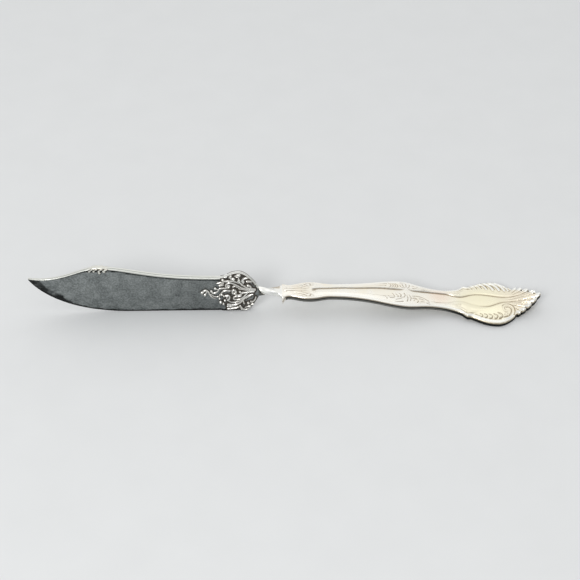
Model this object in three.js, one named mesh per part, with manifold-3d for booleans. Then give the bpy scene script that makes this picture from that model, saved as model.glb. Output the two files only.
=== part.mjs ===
// Master butter knife: an upright blade and a flat ornamented handle joined by a quarter-turn shank.
// Millimetres, +Z up. The length runs along +X from the blade's point to the handle's leafed end.
// The blade's cutting edge and the underside of the handle's end both stand on z = 0.

import * as THREE from "three";
import { mergeVertices } from "three/addons/utils/BufferGeometryUtils.js";
import Module from "manifold-3d";

const wasm = await Module();
wasm.setup();

// Blade, measured along its length from the point
const POINT_TO_HUMP = 24.5;
const HUMP_TO_HEEL = 43.2;
const HEEL_TO_CREST = 6.7;
const CREST_TO_SHANK = 7.3;
const BELLY_LENGTH = 36;
const FACE_TAPER_LENGTH = 45;

// Blade heights above the cutting edge
const POINT_HEIGHT = 16.2;
const POINT_BLUNT = 0.6;
const POINT_DIP = 2;
const HUMP_HEIGHT = 21.2;
const BACK_HEIGHT = 16.1;
const CREST_HEIGHT = 18.3;
const HEEL_LIFT = 0.2;
const GRIND_HEIGHT = 6;

// Blade thicknesses, and the rounded bead along the back
const POINT_THICKNESS = 0.6;
const FACE_THICKNESS = 1.4;
const EDGE_THICKNESS = 0.7;
const BEAD_PROUD = 0.15;
const BEAD_HEIGHT = 0.7;

// Shank, and the braze film between any two seated pieces
const SHANK_LENGTH = 8.3;
const NECK_HEIGHT = 8.95;
const SHANK_DROP = 0.75;
const SHANK_THICKNESS = 1.7;
const SHANK_BULGE = 0.8;
const SHANK_WIDTH_AT_HEEL = 4.1;
const SHANK_WIDTH_AT_HANDLE = 4.9;
const SHANK_WAIST = 0.4;
const TONGUE_LENGTH = 6;
const TONGUE_HEIGHT = 2.2;
const TENON_LENGTH = 6;
const TENON_WIDTH = 3.4;
const TENON_THICKNESS = 1;
const BRAZE_GAP = 0.1;

// Leaf saddle over the hump of the back
const SADDLE_LENGTH = 7;
const SADDLE_THICKNESS = 0.45;
const SADDLE_SKIRT = 1.8;
const SADDLE_LEAVES = 4;
const SADDLE_LEAF_RISE = 0.3;

// Scrollwork mounts on both faces of the heel
const MOUNT_THICKNESS = 0.4;
const MOUNT_INSET = 0.25;
const MOUNT_LOBES = 4;
const MOUNT_LOBE_BULGE = 1.4;
const SCROLL_UNIT = 1;
const SCROLL_RADIUS = 0.5;
const BUD_RADIUS = 0.75;

// Handle, measured along its length from the shank
const EAR_LENGTH = 3.4;
const EAR_TO_SWELL = 6.6;
const SWELL_TO_NARROW = 8.2;
const NARROW_TO_MIDDLE = 26;
const MIDDLE_TO_WAIST = 12.8;
const WAIST_TO_CARTOUCHE = 15;
const CARTOUCHE_TO_SHOULDER = 5.6;
const SHOULDER_TO_NOTCH = 7.4;
const NOTCH_TO_TIP = 9;
const LEVEL_LENGTH = 12;
const MIDDLE_TO_BEND = 2.8;
const REST_LENGTH = 6;
const SPUR_TO_SHOULDER = 11.2;
const SPUR_LENGTH = 1.6;

// Handle widths
const EAR_WIDTH = 8.4;
const COLLAR_WIDTH = 5.9;
const SWELL_WIDTH = 8.6;
const NARROW_WIDTH = 6.4;
const MIDDLE_WIDTH = 12.9;
const WAIST_WIDTH = 9.2;
const SHOULDER_WIDTH = 21.8;
const NOTCH_WIDTH = 13.9;
const SPUR_PROUD = 0.7;
const CHANNEL_END_WIDTH = 0.8;
const CHANNEL_WIDTH_NARROW = 1.8;
const CHANNEL_WIDTH_MIDDLE = 4.2;
const CHANNEL_WIDTH_WAIST = 4.7;
const CHANNEL_PINCH = 3;
const CARTOUCHE_WIDTH = 7.2;
const THROAT_WIDTH = 2.6;

// Handle thicknesses and relief
const SHAFT_BELOW_AXIS = 1.1;
const SHAFT_EDGE = 2.05;
const END_EDGE = 1.7;
const SHAFT_CROWN = 0.35;
const END_CROWN = 1.3;
const BORDER_RISE = 0.35;
const CHANNEL_SINK = 0.3;
const UNDERSIDE_ROUND = 0.4;
const BEND_HEIGHT = 4.4;
const BEND_SLOPE = 0.2;
const TIP_RISE = 4.2;
const TIP_LOBES = 4.5;
const LOBE_DEPTH = 0.7;
const FLUTE_RISE = 0.4;
const FAN_LEAN = 0.7;

// Fineness of the round forms
const SCROLL_SIDES = 6;
const SCROLL_STEPS = 3;
const SHANK_SIDES = 20;
const SHANK_STEPS = 14;
const WELD = 1e-4;

const bladeHeelAt = POINT_TO_HUMP + HUMP_TO_HEEL;
const bladeCrestAt = bladeHeelAt + HEEL_TO_CREST;
const bladeLength = bladeCrestAt + CREST_TO_SHANK;
const heelEnd = bladeLength - BRAZE_GAP;
const faceHalf = FACE_THICKNESS / 2;
const heelFootAt = bladeCrestAt + 0.3 * CREST_TO_SHANK;
const shankTop = NECK_HEIGHT + SHANK_WIDTH_AT_HEEL / 2;
const shankBottom = NECK_HEIGHT - SHANK_WIDTH_AT_HEEL / 2;
const handleAxis = NECK_HEIGHT - SHANK_DROP;
const swellAt = EAR_LENGTH + EAR_TO_SWELL;
const narrowAt = swellAt + SWELL_TO_NARROW;
const middleAt = narrowAt + NARROW_TO_MIDDLE;
const waistAt = middleAt + MIDDLE_TO_WAIST;
const cartoucheAt = waistAt + WAIST_TO_CARTOUCHE;
const shoulderAt = cartoucheAt + CARTOUCHE_TO_SHOULDER;
const notchAt = shoulderAt + SHOULDER_TO_NOTCH;
const handleLength = notchAt + NOTCH_TO_TIP;
const handleStart = bladeLength + SHANK_LENGTH;
const totalLength = handleStart + handleLength;

const { lerp, smoothstep } = THREE.MathUtils;
const point = (x, y, z) => new THREE.Vector3(x, y, z);

const silver = new THREE.MeshStandardMaterial({ color: 0xe2ddd0, roughness: 0.3, metalness: 1 });
const greyed = new THREE.MeshStandardMaterial({ color: 0x8b8f8e, roughness: 0.35, metalness: 1 });
const aged = new THREE.MeshStandardMaterial({ color: 0xb7b1a4, roughness: 0.4, metalness: 1 });

// Adds a rise or fall to a path, level at both ends; lead and trail say how long each end stays level.
function ease(path, x, y, lead = 0.45, trail = 0.45) {
  const from = path.currentPoint.clone();
  const run = x - from.x;
  path.bezierCurveTo(from.x + lead * run, from.y, x - trail * run, y, x, y);
}

// Height of a left-to-right path at the distance x.
function heightAt(path, x) {
  const curve = path.curves.find((piece) => piece.getPoint(1).x >= x) ?? path.curves.at(-1);
  let low = 0;
  let high = 1;
  for (let halving = 0; halving < 40; halving += 1) {
    const middle = (low + high) / 2;
    if (curve.getPoint(middle).x < x) low = middle;
    else high = middle;
  }
  return curve.getPoint(high).y;
}

// Evenly spaced places from one distance up to, but not at, another.
function stations(from, to, count) {
  return Array.from({ length: count }, (_, k) => from + ((to - from) * k) / count);
}

// Skins rings of equally many points that follow one another along the piece.
// Seen against that run, a ring turns clockwise.
function loft(rings, capEnd = true) {
  const count = rings[0].length;
  const points = rings.flat();
  const faces = [];
  for (let ring = 0; ring + 1 < rings.length; ring += 1) {
    for (let k = 0; k < count; k += 1) {
      const a = ring * count + k;
      const b = ring * count + ((k + 1) % count);
      faces.push(a, a + count, b + count, a, b + count, b);
    }
  }
  const cap = (ring, first, second) => {
    const sum = rings[ring].reduce((total, corner) => total.add(corner), point(0, 0, 0));
    const centre = points.push(sum.divideScalar(count)) - 1;
    for (let k = 0; k < count; k += 1) {
      const corners = [ring * count + k, ring * count + ((k + 1) % count)];
      faces.push(centre, corners[first], corners[second]);
    }
  };
  cap(0, 0, 1);
  if (capEnd) cap(rings.length - 1, 1, 0);
  return new THREE.BufferGeometry().setFromPoints(points).setIndex(faces);
}

// Turns a closed geometry into a solid for joining and cutting, without its collapsed triangles.
function toSolid(geometry) {
  const bare = geometry.clone();
  bare.deleteAttribute("normal");
  bare.deleteAttribute("uv");
  const welded = mergeVertices(bare, WELD);
  const corners = [];
  for (let k = 0; k < welded.index.count; k += 3) {
    const face = [welded.index.getX(k), welded.index.getX(k + 1), welded.index.getX(k + 2)];
    if (new Set(face).size === 3) corners.push(...face);
  }
  const vertProperties = welded.attributes.position.array;
  const triVerts = new Uint32Array(corners);
  return new wasm.Manifold(new wasm.Mesh({ numProp: 3, vertProperties, triVerts }));
}

function toGeometry(solid) {
  const { vertProperties, triVerts } = solid.getMesh();
  const geometry = new THREE.BufferGeometry();
  geometry.setAttribute("position", new THREE.BufferAttribute(vertProperties, 3));
  geometry.setIndex(new THREE.BufferAttribute(triVerts, 1));
  geometry.computeVertexNormals();
  return geometry;
}

function named(name, geometry, material) {
  const mesh = new THREE.Mesh(geometry, material);
  mesh.name = name;
  return mesh;
}

function block(from, to) {
  const size = to.clone().sub(from);
  const middle = from.clone().add(to).divideScalar(2);
  return toSolid(new THREE.BoxGeometry(size.x, size.y, size.z).translate(middle.x, middle.y, middle.z));
}

// A ring across the length that is the same on both sides of the middle plane, from its top downwards.
function mirroredRing(x, half) {
  const right = half.map(([y, z]) => point(x, y, z));
  const left = half.map(([y, z]) => point(x, -y, z)).reverse();
  return [...right, ...left];
}

// Blade: the back runs from the upturned point over the hump to the crest of the heel,
// the edge curves down from the point, runs straight on the table and rises to the shank.
const back = new THREE.Path().moveTo(0, POINT_HEIGHT + POINT_BLUNT / 2);
back.bezierCurveTo(
  0.45 * POINT_TO_HUMP, POINT_HEIGHT - POINT_DIP,
  0.76 * POINT_TO_HUMP, HUMP_HEIGHT,
  POINT_TO_HUMP, HUMP_HEIGHT,
);
ease(back, bladeHeelAt, BACK_HEIGHT, 0.27, 0.6);
ease(back, bladeCrestAt, CREST_HEIGHT);
back.bezierCurveTo(
  bladeCrestAt + 0.34 * CREST_TO_SHANK, CREST_HEIGHT,
  bladeCrestAt + 0.62 * CREST_TO_SHANK, lerp(shankTop, CREST_HEIGHT, 0.64),
  bladeLength, shankTop,
);
const edge = new THREE.Path().moveTo(0, POINT_HEIGHT - POINT_BLUNT / 2);
edge.bezierCurveTo(0.1 * BELLY_LENGTH, 0.57 * POINT_HEIGHT, 0.36 * BELLY_LENGTH, 0, BELLY_LENGTH, 0);
edge.lineTo(bladeHeelAt, 0);
ease(edge, heelFootAt, HEEL_LIFT);
edge.bezierCurveTo(
  bladeCrestAt + 0.58 * CREST_TO_SHANK, HEEL_LIFT,
  bladeCrestAt + 0.73 * CREST_TO_SHANK, 0.45 * shankBottom,
  bladeLength, shankBottom,
);

// Half the thickness of the flat face, which thins towards the point.
function faceHalfAt(x) {
  const share = Math.sin((Math.PI / 2) * Math.min(1, x / FACE_TAPER_LENGTH));
  return lerp(POINT_THICKNESS / 2, faceHalf, share);
}

// Half the thickness of the bead along the back, which dies away into the heel.
function beadHalfAt(x) {
  const gone = smoothstep(x, bladeHeelAt - BEAD_HEIGHT, bladeHeelAt + BEAD_HEIGHT);
  return faceHalfAt(x) + BEAD_PROUD * (1 - gone);
}

function bladeRing(x) {
  const top = heightAt(back, x);
  const bottom = heightAt(edge, x);
  const bead = Math.min(BEAD_HEIGHT, 0.4 * (top - bottom));
  const grind = Math.min(GRIND_HEIGHT, 0.5 * (top - bottom));
  const face = faceHalfAt(x);
  const beadHalf = beadHalfAt(x);
  const unground = smoothstep(x, bladeHeelAt, bladeHeelAt + BEAD_HEIGHT);
  return mirroredRing(x, [
    [0.25 * beadHalf, top],
    [0.75 * beadHalf, top - 0.15 * bead],
    [beadHalf, top - 0.45 * bead],
    [beadHalf, top - 0.7 * bead],
    [face, top - bead],
    [face, bottom + grind],
    [lerp(Math.min(face, EDGE_THICKNESS / 2), face, unground), bottom],
  ]);
}

const bladeStations = [
  ...stations(0, BELLY_LENGTH / 2, 14),
  ...stations(BELLY_LENGTH / 2, BELLY_LENGTH, 9),
  ...stations(BELLY_LENGTH, bladeHeelAt - BEAD_HEIGHT, 7),
  ...stations(bladeHeelAt - BEAD_HEIGHT, bladeCrestAt, 9),
  ...stations(bladeCrestAt, heelEnd, 10),
  heelEnd,
];
const slotHalf = TONGUE_HEIGHT / 2 + BRAZE_GAP;
const tongueSlot = block(
  point(bladeLength - TONGUE_LENGTH - BRAZE_GAP, -FACE_THICKNESS, NECK_HEIGHT - slotHalf),
  point(bladeLength, FACE_THICKNESS, NECK_HEIGHT + slotHalf),
);
const bladeSolid = toSolid(loft(bladeStations.map(bladeRing))).subtract(tongueSlot);
const blade = named("blade", toGeometry(bladeSolid), greyed);

// Leaf saddle: a folded strip of overlapping leaves that sits astride the hump of the back.
const saddleStart = POINT_TO_HUMP - SADDLE_LENGTH / 2;
const saddleEnd = POINT_TO_HUMP + SADDLE_LENGTH / 2;

function saddleRing(x) {
  const leaf = Math.abs(Math.sin((Math.PI * SADDLE_LEAVES * (x - saddleStart)) / SADDLE_LENGTH));
  const seat = heightAt(back, x) + BRAZE_GAP;
  const half = beadHalfAt(x) + BRAZE_GAP + SADDLE_THICKNESS;
  return mirroredRing(x, [
    [0.55 * half, seat + SADDLE_THICKNESS + SADDLE_LEAF_RISE * leaf],
    [half, seat],
    [half, seat - SADDLE_SKIRT * lerp(0.7, 1, leaf)],
  ]);
}

function saddleSeatRing(x) {
  const seat = heightAt(back, x) + BRAZE_GAP;
  const half = beadHalfAt(x) + BRAZE_GAP;
  return mirroredRing(x, [[half, seat], [half, seat - 2 * SADDLE_SKIRT]]);
}

const saddleStations = [...stations(saddleStart, saddleEnd, SADDLE_LEAVES * 5), saddleEnd];
const saddleSeatStations = [saddleStart - BEAD_HEIGHT, ...saddleStations, saddleEnd + BEAD_HEIGHT];
const saddleSolid = toSolid(loft(saddleStations.map(saddleRing)))
  .subtract(toSolid(loft(saddleSeatStations.map(saddleSeatRing))));
const saddle = named("spine_leaf_saddle", toGeometry(saddleSolid), silver);

// Heel mounts: a lobed ground plate with scrolls that spring from the shank end and run out over the face.
// A mount is drawn flat with its seat at z = 0 and then stood against the face of the heel.
const mountEnd = heelEnd - MOUNT_INSET;

function mountPlate() {
  const start = bladeHeelAt + MOUNT_LOBE_BULGE;
  const along = [...stations(start, mountEnd, 12), mountEnd].slice(1);
  const low = heightAt(edge, start) + MOUNT_INSET;
  const rise = (heightAt(back, start) - MOUNT_INSET - low) / MOUNT_LOBES;
  const plate = new THREE.Shape().moveTo(start, low);
  for (let lobe = 0; lobe < MOUNT_LOBES; lobe += 1) {
    const foot = low + lobe * rise;
    plate.bezierCurveTo(bladeHeelAt, foot, bladeHeelAt, foot + rise, start, foot + rise);
  }
  along.forEach((x) => plate.lineTo(x, heightAt(back, x) - MOUNT_INSET));
  along.reverse().forEach((x) => plate.lineTo(x, heightAt(edge, x) + MOUNT_INSET));
  const depth = MOUNT_THICKNESS;
  return toSolid(new THREE.ExtrudeGeometry(plate, { depth, bevelEnabled: false, curveSegments: 5 }));
}

// One scroll: a tapering round bar along a curve, with a bud at its end. Its places give, in units of the
// drawing, the distance from the shank end towards the blade's point and the height above the neck's axis.
function scroll(...places) {
  const root = new THREE.Vector2(bladeLength, NECK_HEIGHT);
  const curve = new THREE.SplineCurve(
    places.map(([away, up]) => new THREE.Vector2(-away, up).multiplyScalar(SCROLL_UNIT).add(root)),
  );
  const steps = SCROLL_STEPS * (places.length - 1);
  const rings = Array.from({ length: steps + 1 }, (_, step) => {
    const centre = curve.getPoint(step / steps);
    const tangent = curve.getTangent(step / steps);
    const radius = lerp(SCROLL_RADIUS, 0.65 * SCROLL_RADIUS, step / steps);
    return Array.from({ length: SCROLL_SIDES }, (_, k) => {
      const angle = (2 * Math.PI * k) / SCROLL_SIDES;
      const across = radius * Math.sin(angle);
      const out = MOUNT_THICKNESS + radius * Math.cos(angle);
      return point(centre.x - tangent.y * across, centre.y + tangent.x * across, out);
    });
  });
  const end = curve.getPoint(1);
  const bud = new THREE.SphereGeometry(BUD_RADIUS, 8, 6).translate(end.x, end.y, MOUNT_THICKNESS);
  return toSolid(loft(rings)).add(toSolid(bud));
}

const rimScroll = scroll([2.2, 3.3], [3.8, 6.1], [5.8, 8.1], [7.8, 8.5], [9.4, 7.5], [8.6, 6.2]);
const upperStem = scroll([1.4, 1.2], [4.8, 3], [8.2, 4.6], [10.2, 5], [11.4, 4.1], [10.5, 3.4]);
const upperTendril = scroll([7, 4.6], [10.4, 6], [12, 5.9], [13.8, 5]);
const longTendril = scroll(
  [8.8, 1.4], [11.7, 1.2], [13.5, -0.2], [14.8, -1.5], [16.4, -1.2], [17.8, 0.1], [18.8, 1.4], [20.1, 0.6],
);
const flowerStem = scroll([4.2, 0], [6.8, -2.6], [10, -2.9], [12.8, -2.4]);
const lowerStem = scroll([2.1, -0.7], [4, -1.5], [5.4, -2.9], [6.5, -4.3], [7.9, -5.3], [11, -5.4]);
const lowerRim = scroll([2.8, -4.4], [3.6, -6.4], [4.7, -7.4], [6.2, -7.1], [8, -6.9], [11, -7.3]);
const behindSeat = block(point(0, 0, -CREST_HEIGHT), point(totalLength, 2 * CREST_HEIGHT, 0));
const pastHeel = block(
  point(mountEnd, 0, -CREST_HEIGHT),
  point(totalLength, 2 * CREST_HEIGHT, CREST_HEIGHT),
);
const mountSolid = [rimScroll, upperStem, upperTendril, longTendril, flowerStem, lowerStem, lowerRim]
  .reduce((whole, piece) => whole.add(piece), mountPlate())
  .subtract(behindSeat)
  .subtract(pastHeel);
const mountGeometry = toGeometry(mountSolid).rotateX(Math.PI / 2).translate(0, -faceHalf - BRAZE_GAP, 0);
const frontMount = named("heel_mount_front", mountGeometry, aged);
const backMount = named("heel_mount_back", mountGeometry, aged);
backMount.scale.y = -1;

// Shank: a flat bar turned a quarter about its length, with a tongue in the heel and a tenon in the handle.
// Its upper edge at the heel becomes the front edge at the handle.
function shankRing(t) {
  const turn = (Math.PI / 2) * t ** 0.7;
  const width = lerp(SHANK_WIDTH_AT_HEEL, SHANK_WIDTH_AT_HANDLE, t) - SHANK_WAIST * Math.sin(Math.PI * t);
  const thickness = lerp(FACE_THICKNESS, SHANK_THICKNESS, t) + SHANK_BULGE * Math.sin(Math.PI * t ** 0.6);
  const axis = lerp(NECK_HEIGHT, handleAxis, smoothstep(t, 0, 1));
  const squared = (value) => Math.sign(value) * Math.sqrt(Math.abs(value));
  return Array.from({ length: SHANK_SIDES }, (_, k) => {
    const angle = (2 * Math.PI * k) / SHANK_SIDES;
    const wide = (width / 2) * squared(Math.cos(angle));
    const thick = (thickness / 2) * squared(Math.sin(angle));
    const y = thick * Math.cos(turn) - wide * Math.sin(turn);
    const z = wide * Math.cos(turn) + thick * Math.sin(turn);
    return point(bladeLength + t * SHANK_LENGTH, y, axis + z);
  });
}

const shankBar = toSolid(loft([...stations(0, 1, SHANK_STEPS), 1].map(shankRing)));
const tongue = block(
  point(bladeLength - TONGUE_LENGTH, -faceHalf, NECK_HEIGHT - TONGUE_HEIGHT / 2),
  point(bladeLength + BRAZE_GAP, faceHalf, NECK_HEIGHT + TONGUE_HEIGHT / 2),
);
const tenon = block(
  point(handleStart - BRAZE_GAP, -TENON_WIDTH / 2, handleAxis - TENON_THICKNESS / 2),
  point(handleStart + TENON_LENGTH, TENON_WIDTH / 2, handleAxis + TENON_THICKNESS / 2),
);
const shank = named("twisted_shank", toGeometry(shankBar.add(tongue).add(tenon)), silver);

// Handle outline: half the width against the distance from the shank. The ears and swells run up to the
// shoulders, and the two last curves form the notch and the rounded leafed end.
const outline = new THREE.Path().moveTo(BRAZE_GAP, 0.75 * (EAR_WIDTH / 2));
outline.quadraticCurveTo(0.1 * EAR_LENGTH, EAR_WIDTH / 2, 0.2 * EAR_LENGTH, EAR_WIDTH / 2);
ease(outline, EAR_LENGTH, COLLAR_WIDTH / 2, 0.1, 0.7);
ease(outline, swellAt, SWELL_WIDTH / 2);
ease(outline, narrowAt, NARROW_WIDTH / 2);
ease(outline, middleAt, MIDDLE_WIDTH / 2, 0.53, 0.27);
ease(outline, waistAt, WAIST_WIDTH / 2, 0.3, 0.5);
ease(outline, shoulderAt, SHOULDER_WIDTH / 2, 0.45, 0.36);
outline.bezierCurveTo(
  shoulderAt + 0.4 * SHOULDER_TO_NOTCH, SHOULDER_WIDTH / 2,
  shoulderAt + 0.65 * SHOULDER_TO_NOTCH, 0.62 * NOTCH_WIDTH,
  notchAt, NOTCH_WIDTH / 2,
);
outline.bezierCurveTo(
  notchAt + 0.22 * NOTCH_TO_TIP, 0.45 * NOTCH_WIDTH,
  notchAt + 0.67 * NOTCH_TO_TIP, 0.3 * NOTCH_WIDTH,
  handleLength, 0,
);
const outlineSteps = [3, 5, 6, 6, 8, 7, 16, 7, 36];

// Half the width of the sunk channel that widens into the plain cartouche.
const channel = new THREE.Path().moveTo(0, CHANNEL_END_WIDTH / 2);
channel.lineTo(swellAt, CHANNEL_END_WIDTH / 2);
ease(channel, narrowAt, CHANNEL_WIDTH_NARROW / 2);
ease(channel, middleAt, CHANNEL_WIDTH_MIDDLE / 2);
ease(channel, waistAt, CHANNEL_WIDTH_WAIST / 2);
ease(channel, lerp(waistAt, cartoucheAt, 0.5), CHANNEL_PINCH / 2);
ease(channel, cartoucheAt, CARTOUCHE_WIDTH / 2);
ease(channel, shoulderAt + 0.6 * SHOULDER_TO_NOTCH, THROAT_WIDTH / 2);
ease(channel, handleLength, CHANNEL_END_WIDTH / 2);

// Height of the underside: level with the shank, then down past the bend at the middle swell to the table,
// then up into the turned-up end.
const shaftUnderside = handleAxis - SHAFT_BELOW_AXIS;
const bendAt = middleAt + MIDDLE_TO_BEND;
const bendReach = 0.27 * (bendAt - LEVEL_LENGTH);
const restAt = shoulderAt - 0.3 * REST_LENGTH;
const underside = new THREE.Path().moveTo(0, shaftUnderside).lineTo(LEVEL_LENGTH, shaftUnderside);
underside.bezierCurveTo(
  lerp(LEVEL_LENGTH, bendAt, 0.31), shaftUnderside,
  bendAt - bendReach, BEND_HEIGHT + BEND_SLOPE * bendReach,
  bendAt, BEND_HEIGHT,
);
underside.bezierCurveTo(
  bendAt + bendReach, BEND_HEIGHT - BEND_SLOPE * bendReach,
  lerp(bendAt, restAt, 0.67), 0.1 * BEND_HEIGHT,
  restAt, 0,
);
underside.lineTo(restAt + REST_LENGTH, 0);
underside.bezierCurveTo(
  lerp(restAt + REST_LENGTH, handleLength, 0.25), 0,
  lerp(restAt + REST_LENGTH, handleLength, 0.6), 0.4 * TIP_RISE,
  handleLength, TIP_RISE,
);

// One ring of the handle, from a place on its outline across the axis to the same place on the other side.
// Beyond the shoulders the rings lean outwards like the ribs of a fan; lobe is 0 in a notch, 1 on a lobe.
function handleRing(rim, lobe) {
  const axisAt = rim.x < shoulderAt ? rim.x : lerp(shoulderAt, rim.x, FAN_LEAN);
  const spur = SPUR_PROUD * Math.exp(-(((rim.x - shoulderAt + SPUR_TO_SHOULDER) / SPUR_LENGTH) ** 2));
  const reach = Math.hypot(rim.x - axisAt, rim.y) + spur - LOBE_DEPTH * (1 - lobe) ** 2;
  const aim = Math.atan2(rim.y, rim.x - axisAt);
  const gutter = heightAt(channel, axisAt);
  const band = reach - gutter;
  const place = (far, lift) => {
    const x = axisAt + Math.abs(far) * Math.cos(aim);
    return point(handleStart + x, far * Math.sin(aim), heightAt(underside, x) + lift);
  };
  const topLift = (far) => {
    const x = axisAt + far * Math.cos(aim);
    const border = Math.max(0, (far - gutter) / band);
    const wall = lerp(SHAFT_EDGE, END_EDGE, smoothstep(x, narrowAt, shoulderAt));
    const crown = lerp(SHAFT_CROWN, END_CROWN, smoothstep(x, middleAt, shoulderAt));
    const sink = far < gutter ? CHANNEL_SINK : 0;
    const roll = BORDER_RISE * Math.sin(Math.PI * border);
    const flute = FLUTE_RISE * border * (1 - lobe);
    return wall + crown * (1 - (far / reach) ** 2) - sink + roll - flute;
  };
  const half = [0.7 * gutter, gutter, gutter + 0.35 * band, gutter + 0.7 * band, reach];
  const across = [...half.map((far) => -far).reverse(), 0, ...half];
  const top = across.map((far) => place(far, topLift(Math.abs(far))));
  const flat = reach - 2 * UNDERSIDE_ROUND;
  const bottom = [
    place(reach, UNDERSIDE_ROUND),
    place(flat, 0),
    place(0, 0),
    place(-flat, 0),
    place(-reach, UNDERSIDE_ROUND),
  ];
  return [...top, ...bottom];
}

function handleRings() {
  const rings = [];
  const last = outline.curves.length - 1;
  outline.curves.forEach((curve, piece) => {
    const steps = outlineSteps[piece];
    for (let step = piece === 0 ? 0 : 1; step <= steps; step += 1) {
      const t = step / steps;
      const lobe = piece === last ? Math.abs(Math.sin(Math.PI * TIP_LOBES * t)) : 1;
      rings.push(handleRing(curve.getPoint(t), piece === last - 1 ? 1 - t ** 4 : lobe));
    }
  });
  return rings;
}

const mortise = block(
  point(handleStart, -TENON_WIDTH / 2 - BRAZE_GAP, handleAxis - TENON_THICKNESS / 2 - BRAZE_GAP),
  point(
    handleStart + TENON_LENGTH + BRAZE_GAP,
    TENON_WIDTH / 2 + BRAZE_GAP,
    handleAxis + TENON_THICKNESS / 2 + BRAZE_GAP,
  ),
);
const handleSolid = toSolid(loft(handleRings(), false)).subtract(mortise);
const handle = named("handle", toGeometry(handleSolid), silver);

const knife = new THREE.Group();
knife.add(blade, saddle, frontMount, backMount, shank, handle);
knife.position.x = -totalLength / 2;

export default knife;
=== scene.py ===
import math

import bmesh
import bpy
import numpy as np
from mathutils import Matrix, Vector


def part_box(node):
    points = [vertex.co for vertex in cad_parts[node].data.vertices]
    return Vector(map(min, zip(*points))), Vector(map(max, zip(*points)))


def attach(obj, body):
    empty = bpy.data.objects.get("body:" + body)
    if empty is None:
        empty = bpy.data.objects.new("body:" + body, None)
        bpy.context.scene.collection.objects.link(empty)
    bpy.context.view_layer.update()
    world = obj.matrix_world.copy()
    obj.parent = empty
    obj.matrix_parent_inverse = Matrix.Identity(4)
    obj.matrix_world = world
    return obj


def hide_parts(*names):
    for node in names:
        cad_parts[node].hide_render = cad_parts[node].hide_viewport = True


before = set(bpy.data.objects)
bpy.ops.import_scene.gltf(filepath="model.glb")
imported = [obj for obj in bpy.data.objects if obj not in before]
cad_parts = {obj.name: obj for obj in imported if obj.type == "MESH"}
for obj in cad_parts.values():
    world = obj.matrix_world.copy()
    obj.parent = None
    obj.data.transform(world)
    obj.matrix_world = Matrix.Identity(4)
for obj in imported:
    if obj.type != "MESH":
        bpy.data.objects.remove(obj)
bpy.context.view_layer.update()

# Blade. One plate of nickel silver, blanked to an upturned point and a hump, and ground thin to its edge.
# A reeded bead is struck along the back. Its faces are painted a mottled slate grey, a painted reflection of
# a dark surface with tarnish mottling and scratches in it, and the bead keeps the brighter plate colour,
# with a painted highlight along the crest of the hump.
MM = 0.001
POINT_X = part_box("blade")[0].x / MM
HEEL, CREST, BLADE_END = 67.7, 74.4, 81.7
NECK_HEIGHT, NECK_HALF = 8.95, 2.05
FACE_HALF, POINT_HALF, EDGE_HALF = 0.7, 0.3, 0.33
BEAD_PROUD, BEAD_HEIGHT, GRIND_HEIGHT = 0.15, 0.66, 6.0
# The bead from the groove along its crown to its side, and the undercut below it: (share, drop).
BEAD_ROUND = ((0, 0.16), (0.1, 0.14), (0.26, 0.04), (0.46, 0),
              (0.68, 0.02), (0.85, 0.1), (0.96, 0.22), (1, 0.36))
BEAD_UNDERCUT = ((0.3, 0.5), (0.85, 0.58))
# How bright each line of the section is: 1 is the bead's bright plate, 0 is the faces' painted slate
# reflection, and below that is inky painted shade, as under the bead and along the edge.
BEAD_SHINE = [0.1, 0.4] + [1] * 6 + [0.95, 0.1]
FACE_SHINE = [-1, -0.7] + [0] * 8
EDGE_SHINE = [0, 0, 0, -0.25, -1, -1.2, -1.2]
# The slate greys are a painted reflection of a dark surface; the ink is painted shade, and also the dark of
# stains.
REFLECTED_SLATE, REFLECTED_PALE_SLATE, INK_STAIN_AND_SHADE = (0.125, 0.139, 0.139, 1), (0.385, 0.41, 0.405, 1), (0.022, 0.024, 0.023, 1)
WIPED, BRIGHT = (0.72, 0.73, 0.68, 1), (0.88, 0.88, 0.84, 1)


class Line:
    """A drawn line of Bezier pieces that runs along the knife: call it for the height at a distance."""

    def __init__(self, x, y):
        self.end = np.array((x, y), float)
        self.pieces = []

    def curve(self, *places):
        handles = np.array(places, float).reshape(3, 2)
        self.pieces.append(np.vstack((self.end, handles)))
        self.end = handles[2]
        return self

    def ease(self, x, y, lead=0.45, trail=0.45):
        run = x - self.end[0]
        return self.curve(self.end[0] + lead * run, self.end[1], x - trail * run, y, x, y)

    def straight(self, x, y):
        third = (np.array((x, y)) - self.end) / 3
        return self.curve(*(self.end + third), *(self.end + 2 * third), x, y)

    def trace(self, piece, count):
        t = np.linspace(0, 1, count + 1)[:, None]
        a, b, c, d = self.pieces[piece]
        return a * (1 - t) ** 3 + 3 * b * t * (1 - t) ** 2 + 3 * c * t**2 * (1 - t) + d * t**3

    def __call__(self, x):
        points = np.vstack([self.trace(piece, 80) for piece in range(len(self.pieces))])
        return np.interp(x, points[:, 0], points[:, 1])


def step(x, low, high):
    """A smooth rise from 0 at low to 1 at high."""
    t = np.clip((x - low) / (high - low), 0, 1)
    return t * t * (3 - 2 * t)


def places(*stretches):
    """Distances along a piece: each stretch gives its start and how many steps lead to the next one."""
    marks = [np.linspace(a, b, n, endpoint=False) for (a, n), (b, _) in zip(stretches, stretches[1:])]
    return np.concatenate(marks + [[stretches[-1][0]]])


def finished(name, mesh, sharp=180):
    """Turns a mesh in millimetres from the blade's point into a piece that rides on the knife."""
    for vert in mesh.verts:
        vert.co = Vector((vert.co.x + POINT_X, vert.co.y, vert.co.z)) * MM
    bmesh.ops.recalc_face_normals(mesh, faces=mesh.faces)
    data = bpy.data.meshes.new(name)
    mesh.to_mesh(data)
    mesh.free()
    data.polygons.foreach_set("use_smooth", [True] * len(data.polygons))
    data.set_sharp_from_angle(angle=math.radians(sharp))
    piece = bpy.data.objects.new(name, data)
    bpy.context.scene.collection.objects.link(piece)
    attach(piece, "root")
    return piece


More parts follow.
